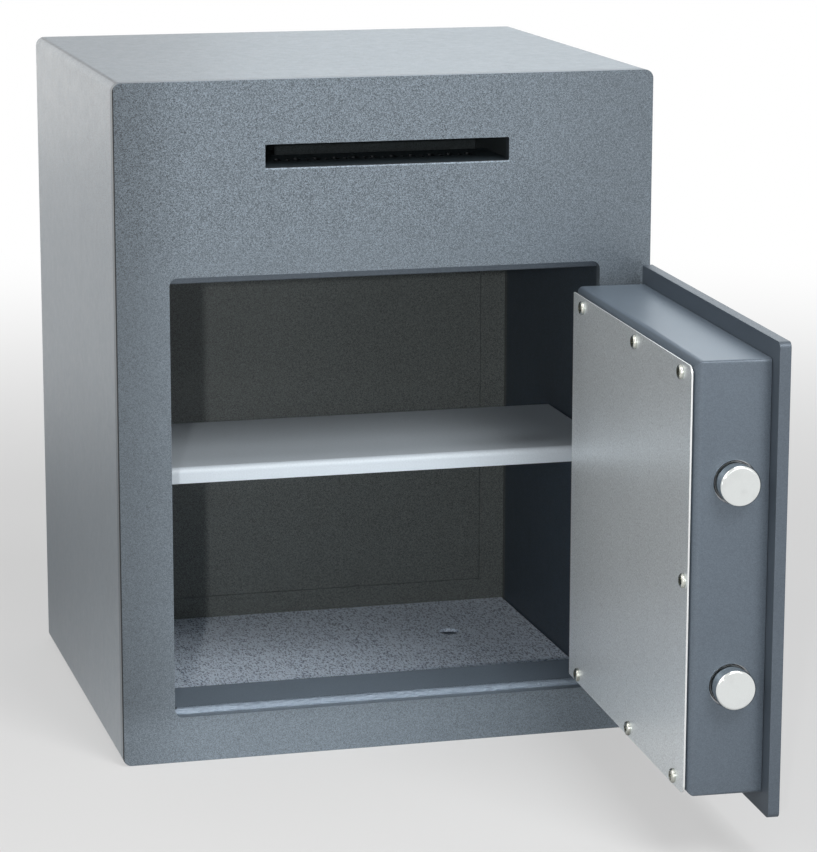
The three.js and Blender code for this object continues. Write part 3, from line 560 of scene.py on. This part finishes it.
# %% Silver and pale paint
door_joint = next(joint for joint in frame["joints"] if joint["name"] == "door_hinge")
door_opening = -math.radians(door_joint["range_deg"][0])
cover_facing = (-math.sin(door_opening), math.cos(door_opening), 0.0)
bare_steel = tint(0.76, 0.78, 0.78)


def cut_edge(coat):
    """1 on the cover's narrow cut edges, which face away from its broad side."""
    inputs = {0: coat.facing(), 1: cover_facing}
    alike = coat.node("ShaderNodeVectorMath", {"operation": "DOT_PRODUCT"}, inputs, "Value")
    return 1 - abs(alike).between(0.5, 0.9)


def satin(name, colour, metallic, roughness, grain, grain_width, edge=None):
    """A fine satin coat. edge, if given, says where the sheet's bare cut edge is."""
    coat = Finish(name)
    place = coat.place()
    grains = coat.noise(place, grain_width, 3.0, 0.6)
    clouds = coat.noise(place, 0.06, 2.0, 0.5)
    lightness = 1 + (grains - 0.5) * grain + (clouds - 0.5) * 0.06
    coated = coat.scaled(colour, lightness)
    coat.shade(
        Base_Color=coat.mix(coated, bare_steel, edge(coat)) if edge else coated,
        Metallic=metallic,
        Roughness=(roughness + (grains - 0.5) * 0.12).clamped(),
        Normal=coat.bump(grains, 0.00005, 0.4),
    )
    return coat.material


cover_silver = satin(
    "cover_silver",
    tint(0.80, 0.85, 0.88),
    metallic=0.45,
    roughness=0.33,
    grain=1.3,
    grain_width=0.0010,
    edge=cut_edge,
)
shelf_paint = satin(
    "shelf_paint",
    tint(0.72, 0.80, 0.87),
    metallic=0.0,
    roughness=0.4,
    grain=0.22,
    grain_width=0.0012,
)
print("satin coats", cover_silver.name, shelf_paint.name)

# %% [markdown]
# The mat is needle felt: dark and light fibres pressed together. Two noises, one for the fibres and
# one for the tufts, choose between a dark and a pale blue.

# %% Felt
fibre_width = 0.0011
tuft_width = 0.006
dark_fibre = tint(0.06, 0.11, 0.22)
pale_fibre = tint(0.76, 0.87, 1.0)


def felt_finish():
    felt = Finish("felt")
    place = felt.place()
    fibres = felt.noise(place, fibre_width, 2.0, 0.6, (1, 0.35, 1))
    tufts = felt.noise(place, tuft_width, 3.0, 0.6, (1, 0.5, 1))
    pale = (fibres * 0.85 + tufts * 0.15).between(0.34, 0.55)
    felt.shade(
        Base_Color=felt.mix(dark_fibre, pale_fibre, pale),
        Roughness=(0.98 - pale * 0.08).clamped(),
        Sheen_Weight=0.3,
        Normal=felt.bump(fibres + tufts * 0.5, 0.0003, 0.7),
    )
    return felt.material


felt = felt_finish()
print("felt ready")

# %% [markdown]
# Zinc and chrome are metals, so nearly all their looks come from roughness and from the faint marks
# of turning or rolling. Greasy smudges darken them a little.

# %% Plated metal
smudge_size = 0.012
smudge_grey = tint(0.25, 0.25, 0.24)


def plated(name, colour, roughness, mark_size, mark_stretch):
    """Bright metal with faint marks, long in the direction where mark_stretch is small."""
    metal = Finish(name)
    place = metal.place()
    marks = metal.noise(place, mark_size, 3.0, 0.6, mark_stretch)
    smudges = metal.noise(place, smudge_size, 2.0, 0.5)
    shine = roughness + (marks - 0.5) * 0.14 + (smudges - 0.5) * 0.08
    metal.shade(
        Base_Color=metal.mix(colour, smudge_grey, smudges.between(0.45, 0.8) * 0.10),
        Metallic=1.0,
        Roughness=shine.clamped(),
        Normal=metal.bump(marks, 0.00002, 0.2),
    )
    return metal.material


chrome = plated("chrome", tint(0.71, 0.735, 0.73), 0.12, 0.0007, (1, 0.1, 1))
zinc = plated("zinc", tint(0.56, 0.57, 0.52), 0.24, 0.0006, (1, 1, 0.3))
steel = plated("steel", tint(0.42, 0.43, 0.45), 0.36, 0.0008, (1, 1, 0.12))
print("metals", chrome.name, zinc.name, steel.name)

# %% [markdown]
# ## Soft arrises on the sheet pieces
#
# No sheet has a knife edge: cutting, grinding and paint leave a radius of about a millimetre, and
# the thin light line on it is what makes steel look like steel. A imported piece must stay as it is,
# so each is copied, its loose triangles are merged into whole faces, and the sharp edges of the
# copy are bevelled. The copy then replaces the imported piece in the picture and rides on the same
# body.

# %% Helpers that shade and finish a piece
same_point = 0.00001
same_plane = math.radians(0.5)


def select_only(piece):
    bpy.ops.object.select_all(action="DESELECT")
    piece.select_set(True)
    bpy.context.view_layer.objects.active = piece


def even_shading(piece, angle):
    """Smooth shading in which the large flat faces keep their own direction."""
    select_only(piece)
    bpy.ops.object.shade_smooth_by_angle(angle=math.radians(angle))
    weighted = piece.modifiers.new("weighted", "WEIGHTED_NORMAL")
    weighted.mode = "FACE_AREA"
    weighted.weight = 100
    weighted.keep_sharp = True
    bpy.ops.object.modifier_apply(modifier=weighted.name)


def finish_piece(piece, material, node):
    """Gives a piece its material, and the body of the CAD node that it stands for."""
    piece.data.materials.clear()
    piece.data.materials.append(material)
    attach(piece, nodes[node]["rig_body"])
    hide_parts(node)
    return piece


# %% A helper that copies and softens
def softened(node, radius, material, steps=2, sharp=40.0):
    """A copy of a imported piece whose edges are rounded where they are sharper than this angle."""
    piece = bpy.data.objects.new(node + "_soft", nodes[node].data.copy())
    scene.collection.objects.link(piece)
    select_only(piece)
    bpy.ops.object.mode_set(mode="EDIT")
    bpy.ops.mesh.select_all(action="SELECT")
    bpy.ops.mesh.remove_doubles(threshold=same_point)
    bpy.ops.mesh.dissolve_limited(angle_limit=same_plane)
    bpy.ops.mesh.select_mode(type="EDGE")
    bpy.ops.mesh.select_all(action="DESELECT")
    bpy.ops.mesh.edges_select_sharp(sharpness=math.radians(sharp))
    if radius:
        bpy.ops.mesh.bevel(offset=radius, segments=steps, profile=0.5, clamp_overlap=True)
    bpy.ops.object.mode_set(mode="OBJECT")
    even_shading(piece, sharp - 2)
    return finish_piece(piece, material, node)


# %% Soften the sheets
sheets = {
    "body_wrap": (0.0010, wrap_paint, "paint"),
    "back_panel": (0.0008, back_paint, "paint"),
    "front_panel": (0.0007, outer_paint, "paint"),
    "sill_channel": (0.0006, sill_lit_paint, "paint"),
    "stop_angle": (0.0008, plate_shade_paint, "paint"),
    "strike_bar": (0.0008, cavity_paint, "inner_paint"),
    "shelf": (0.0004, shelf_paint, "shelf_paint"),
    "shelf_bracket_left": (0.0004, cavity_paint, "inner_paint"),
    "shelf_bracket_right": (0.0004, cavity_paint, "inner_paint"),
    "chute_ledge": (0, ledge_shade_paint, "inner_paint"),
    "chute_back": (0.0004, chute_shade_paint, "inner_paint"),
    "chute_ramp": (0.0004, ramp_shade_paint, "inner_paint"),
    "chute_cheek_left": (0.0004, chute_shade_paint, "inner_paint"),
    "chute_cheek_right": (0.0004, chute_shade_paint, "inner_paint"),
    "hinge_bracket_upper": (0.0005, cavity_paint, "inner_paint"),
    "hinge_bracket_lower": (0.0005, cavity_paint, "inner_paint"),
    "door_plate": (0.0009, plate_shade_paint, "paint"),
    "door_box": (0.0004, door_paint, "paint"),
    "door_cover": (0.00035, cover_silver, "cover_paint"),
    "hinge_arm_upper": (0.0006, cavity_paint, "inner_paint"),
    "hinge_arm_lower": (0.0006, cavity_paint, "inner_paint"),
}
for node, (radius, material, slot) in sheets.items():
    piece = softened(node, radius, material)
    print(piece.name, len(piece.data.polygons), "faces")

# %% [markdown]
# ## The door's own frame
#
# The door stands open, and the hinge joint's lower limit says by how much. It is easier to model a
# bolt or a screw on the shut door, where everything is square, and then to swing the finished piece
# open with one matrix. The length along the door is x, the depth behind its outer face is y and the
# height is z.

# %% Shut door to open door
hinge_line = Vector(door_joint["pos_m"])
opening_turn = Matrix.Rotation(door_opening, 4, "Z")
door_swing = Matrix.Translation(hinge_line) @ opening_turn @ Matrix.Translation(-hinge_line)


def swing_open(piece):
    """Puts a piece that was modelled on the shut door where the open door has it."""
    piece.matrix_world = door_swing
    select_only(piece)
    bpy.ops.object.transform_apply(location=True, rotation=True, scale=True)


def shut_span(node):
    """The box of an imported door piece, measured on the shut door."""
    return span(node, door_swing.inverted())


for name in ("bolt_upper", "cover_screw_1"):
    print(name, [tuple(round(value, 4) for value in corner) for corner in shut_span(name)])


# %% Helpers for edit mode
def select_edges(piece, test):
    """Edit mode on, with only the edges selected whose two ends pass the test."""
    select_only(piece)
    bpy.ops.object.mode_set(mode="EDIT")
    bpy.ops.mesh.select_mode(type="EDGE")
    bpy.ops.mesh.select_all(action="DESELECT")
    mesh = bmesh.from_edit_mesh(piece.data)
    for edge in mesh.edges:
        if all(test(vertex.co) for vertex in edge.verts):
            edge.select_set(True)
    bmesh.update_edit_mesh(piece.data)


def cut(piece, cutter):
    """Takes the cutter's shape out of a piece."""
    select_only(piece)
    boolean = piece.modifiers.new("cut", "BOOLEAN")
    boolean.operation = "DIFFERENCE"
    boolean.object = cutter
    bpy.ops.object.modifier_apply(modifier=boolean.name)
    bpy.data.objects.remove(cutter)


def own_copy(piece, name):
    """A second object with its own mesh."""
    twin = bpy.data.objects.new(name, piece.data.copy())
    scene.collection.objects.link(twin)
    return twin


# %% [markdown]
# ## Bolts
#
# Each bolt is a turned bar. Its end is faced flat and its arris rounded over, and that round
# catches a bright ring of light. One bolt is modelled at the upper place, and its copy is moved
# down to the lower one before both swing open with the door.

# %% Bolts
bolt_round = 0.0020
near = 0.0001


def turned_bolt(low, high):
    """A bar along x with a rounded arris at its low end."""
    bpy.ops.object.select_all(action="DESELECT")
    bpy.ops.mesh.primitive_cylinder_add(
        vertices=96,
        radius=(high.z - low.z) / 2,
        depth=high.x - low.x,
        location=(low + high) / 2,
        rotation=(0, math.pi / 2, 0),
    )
    piece = bpy.context.object
    bpy.ops.object.transform_apply(location=True, rotation=True, scale=True)
    select_edges(piece, lambda point: point.x < low.x + near)
    bpy.ops.mesh.bevel(offset=bolt_round, segments=4, profile=0.6)
    bpy.ops.object.mode_set(mode="OBJECT")
    return piece


upper_low, upper_high = shut_span("bolt_upper")
upper_bolt = turned_bolt(upper_low, upper_high)
upper_bolt.name = "bolt_upper_turned"
lower_bolt = own_copy(upper_bolt, "bolt_lower_turned")
lower_bolt.location = shut_span("bolt_lower")[0] - upper_low
select_only(lower_bolt)
bpy.ops.object.transform_apply(location=True, rotation=True, scale=True)
for piece, node in ((upper_bolt, "bolt_upper"), (lower_bolt, "bolt_lower")):
    swing_open(piece)
    even_shading(piece, 35)
    finish_piece(piece, chrome, node)
    print(piece.name, len(piece.data.polygons), "faces")

# %% [markdown]
# ## Cover screws
#
# Seven pan-head screws hold the cover. One is modelled: a short cylinder whose upper arris is
# rounded over, with a cross recess cut into the crown by two bars. The seven heads are copies with
# their own mesh, and each stops at its own angle, as screws do.

# %% Head of a screw
head_radius = 0.0050
head_height = 0.0026
head_round = head_height * 0.66
recess_length = 0.0062
recess_width = 0.0018
recess_depth = 0.0020


def cross_bars():
    """Two crossed bars that point into the crown."""
    bars = []
    for turn in (0, math.pi / 2):
        bpy.ops.mesh.primitive_cube_add(size=1, rotation=(0, turn, 0))
        bar = bpy.context.object
        bar.scale = (recess_length, 2 * recess_depth, recess_width)
        bars.append(bar)
    bpy.ops.object.select_all(action="DESELECT")
    for bar in bars:
        bar.select_set(True)
    bpy.context.view_layer.objects.active = bars[0]
    bpy.ops.object.transform_apply(location=False, rotation=True, scale=True)
    return bars


def screw_head():
    """A head whose crown lies on y = 0 at the origin."""
    bpy.ops.mesh.primitive_cylinder_add(
        vertices=48,
        radius=head_radius,
        depth=head_height,
        location=(0, -head_height / 2, 0),
        rotation=(math.pi / 2, 0, 0),
    )
    piece = bpy.context.object
    bpy.ops.object.transform_apply(location=True, rotation=True, scale=True)
    select_edges(piece, lambda point: point.y > -near)
    bpy.ops.mesh.bevel(offset=head_round, segments=6, profile=0.5)
    bpy.ops.object.mode_set(mode="OBJECT")
    for bar in cross_bars():
        cut(piece, bar)
    even_shading(piece, 32)
    return piece


head = screw_head()
print("screw head", len(head.data.polygons), "faces")

# %% Seven screws
screw_angles = (12, 67, 38, 5, 81, 24, 52)
screw_nodes = sorted(name for name in nodes if name.startswith("cover_screw"))
crown = shut_span("door_cover")[1].y + head_height
for node, angle in zip(screw_nodes, screw_angles):
    low, high = shut_span(node)
    centre = (low + high) / 2
    piece = own_copy(head, node + "_head")
    piece.location = (centre.x, crown, centre.z)
    piece.rotation_euler = (0, math.radians(angle), 0)
    select_only(piece)
    bpy.ops.object.transform_apply(location=True, rotation=True, scale=True)
    swing_open(piece)
    finish_piece(piece, zinc, node)
bpy.data.objects.remove(head)
print(len(screw_nodes), "screws")

# %% [markdown]
# ## Handle, roses and mat
#
# The lever handle and the two roses are cast and turned pieces with generous rounds. The felt mat
# lies loose on the base plate.

# %% Handle and roses
for node, radius in (("handle", 0.0030), ("handle_rose", 0.0012), ("keyhole_rose", 0.0010)):
    print(softened(node, radius, chrome, steps=4, sharp=50.0).name)

# %% Felt mat
mat = softened("floor_mat", 0.0006, felt)

# %% [markdown]
# The pins, the guide, the lock and the boltwork's bars hardly show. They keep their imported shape
# and only get plain steel or zinc.

# %% Plain finishes on the inner pieces
plain = {
    "hinge_pin_upper": steel,
    "hinge_pin_lower": steel,
    "bolt_guide": steel,
    "lock_case": steel,
    "lock_bolt": zinc,
    "bolt_bar": steel,
    "bolt_nut_upper": zinc,
    "bolt_nut_lower": zinc,
    "handle_spindle": steel,
    "bolt_cam": steel,
}
for name, material in plain.items():
    nodes[name].data.materials.clear()
    nodes[name].data.materials.append(material)
print(len(plain), "inner pieces finished")

# %% [markdown]
# ## Floor and world
#
# The safe stands in a white studio. The floor glows where the camera or a reflection looks at it,
# and fades to pure white away from the safe, but it gives off no light of its own, so the safe
# keeps its shadow. In reflections the glow is shaded behind the safe and under the door, where a
# real floor would lie in their shadow. The world is white for the same rays and dimmer as a light.

# %% Floor
behind_safe = (-0.32, 0.55, 0)
under_door = (0.17, -0.36, 0)
floor_grey = tint(0.58, 0.58, 0.58)
glow_near = 0.45


def floor_finish():
    ground = Finish("studio_floor")
    place = ground.place()
    camera_ray = ground.node("ShaderNodeLightPath", {}, {}, "Is Camera Ray")
    glossy_ray = ground.node("ShaderNodeLightPath", {}, {}, "Is Glossy Ray")
    through_ray = ground.node("ShaderNodeLightPath", {}, {}, "Is Transmission Ray")
    away = ground.distance(place, (0, 0, 0)).between(0.6, 2.2)
    lit_behind = ground.distance(place, behind_safe).between(0.05, 0.95)
    lit_under = ground.distance(place, under_door).between(0.08, 0.40)
    looked_at = camera_ray * (glow_near + away * (1 - glow_near))
    mirrored = (glossy_ray + through_ray) * lit_behind * lit_under
    ground.shade(Base_Color=floor_grey, Roughness=0.9)
    white = ground.node("ShaderNodeEmission", {}, {"Color": tint(1, 1, 1), "Strength": 1.0})
    mixed = ground.tree.nodes.new("ShaderNodeMixShader")
    ground.link(mixed.inputs["Fac"], (looked_at + mirrored).clamped())
    ground.tree.links.new(ground.shader.outputs["BSDF"], mixed.inputs[1])
    ground.link(mixed.inputs[2], white)
    output = ground.tree.nodes["Material Output"]
    ground.tree.links.new(mixed.outputs["Shader"], output.inputs["Surface"])
    return ground.material


bpy.ops.mesh.primitive_plane_add(size=40, location=(0, 0, -0.0002))
floor = bpy.context.object
floor.name = "studio_floor"
floor.data.materials.append(floor_finish())
print("floor placed")

# %% World
dim_light = 0.22
world = bpy.data.worlds.new("studio")
scene.world = world
world.use_nodes = True
tree = world.node_tree
paths = tree.nodes.new("ShaderNodeLightPath")
seen_or_mirrored = tree.nodes.new("ShaderNodeMath")
seen_or_mirrored.operation = "ADD"
tree.links.new(paths.outputs["Is Camera Ray"], seen_or_mirrored.inputs[0])
tree.links.new(paths.outputs["Is Glossy Ray"], seen_or_mirrored.inputs[1])
any_look = tree.nodes.new("ShaderNodeMath")
any_look.operation = "ADD"
any_look.use_clamp = True
tree.links.new(seen_or_mirrored.outputs[0], any_look.inputs[0])
tree.links.new(paths.outputs["Is Transmission Ray"], any_look.inputs[1])
level = tree.nodes.new("ShaderNodeMapRange")
level.inputs["To Min"].default_value = dim_light
level.inputs["To Max"].default_value = 1.0
tree.links.new(any_look.outputs[0], level.inputs["Value"])
background = tree.nodes["Background"]
background.inputs["Color"].default_value = tint(1, 1, 1)
tree.links.new(level.outputs[0], background.inputs["Strength"])
print("world ready")

# %% [markdown]
# ## Lamps
#
# Large soft lamps on the left light the side and the top, and a cooler one behind gives the top
# its sheen. The front is lit from the right and from above. A small lamp beside the camera reaches
# into the doorway, and two weak ones lift the door's free edge and the floor by the left foot.

# %% Lamps
warm = (1, 0.97, 0.93)
cool = (0.80, 0.92, 1)


def lamp(name, place, target, size, power, colour=(1, 1, 1)):
    light = bpy.data.lights.new(name, "AREA")
    light.shape = "SQUARE"
    light.size = size
    light.energy = power
    light.color = colour
    holder = bpy.data.objects.new(name, light)
    scene.collection.objects.link(holder)
    holder.visible_camera = False
    holder.location = place
    toward = Vector(target) - Vector(place)
    holder.rotation_euler = toward.to_track_quat("-Z", "Y").to_euler()
    return holder


lamps = (
    lamp("inside", (-0.936, -3.03, 0.87), (-0.05, 0, 0.22), size=0.05, power=20),
    lamp("behind", (1.1, 2.6, 1.6), (0, 0, 0.5), size=1.4, power=6, colour=cool),
    lamp("left", (-2.0, -0.3, 2.0), (-0.2, 0, 0.4), size=1.8, power=17, colour=warm),
    lamp("left_behind", (-0.7, 2.9, 0.65), (-0.2, 0, 0.4), size=1.2, power=5, colour=warm),
    lamp("front", (0.55, -2.0, 1.9), (0, 0, 0.2), size=0.9, power=25),
    lamp("high_front", (0.1, -1.2, 2.5), (0, -0.1, 0.2), size=0.6, power=10),
    lamp("low_right", (0.35, -1.3, 0.33), (0, -0.18, 0.35), size=0.3, power=0.4),
    lamp("foot", (-0.25, -0.75, 0.27), (-0.25, -0.65, 0), size=0.25, power=0.25),
)
print(len(lamps), "lamps placed")
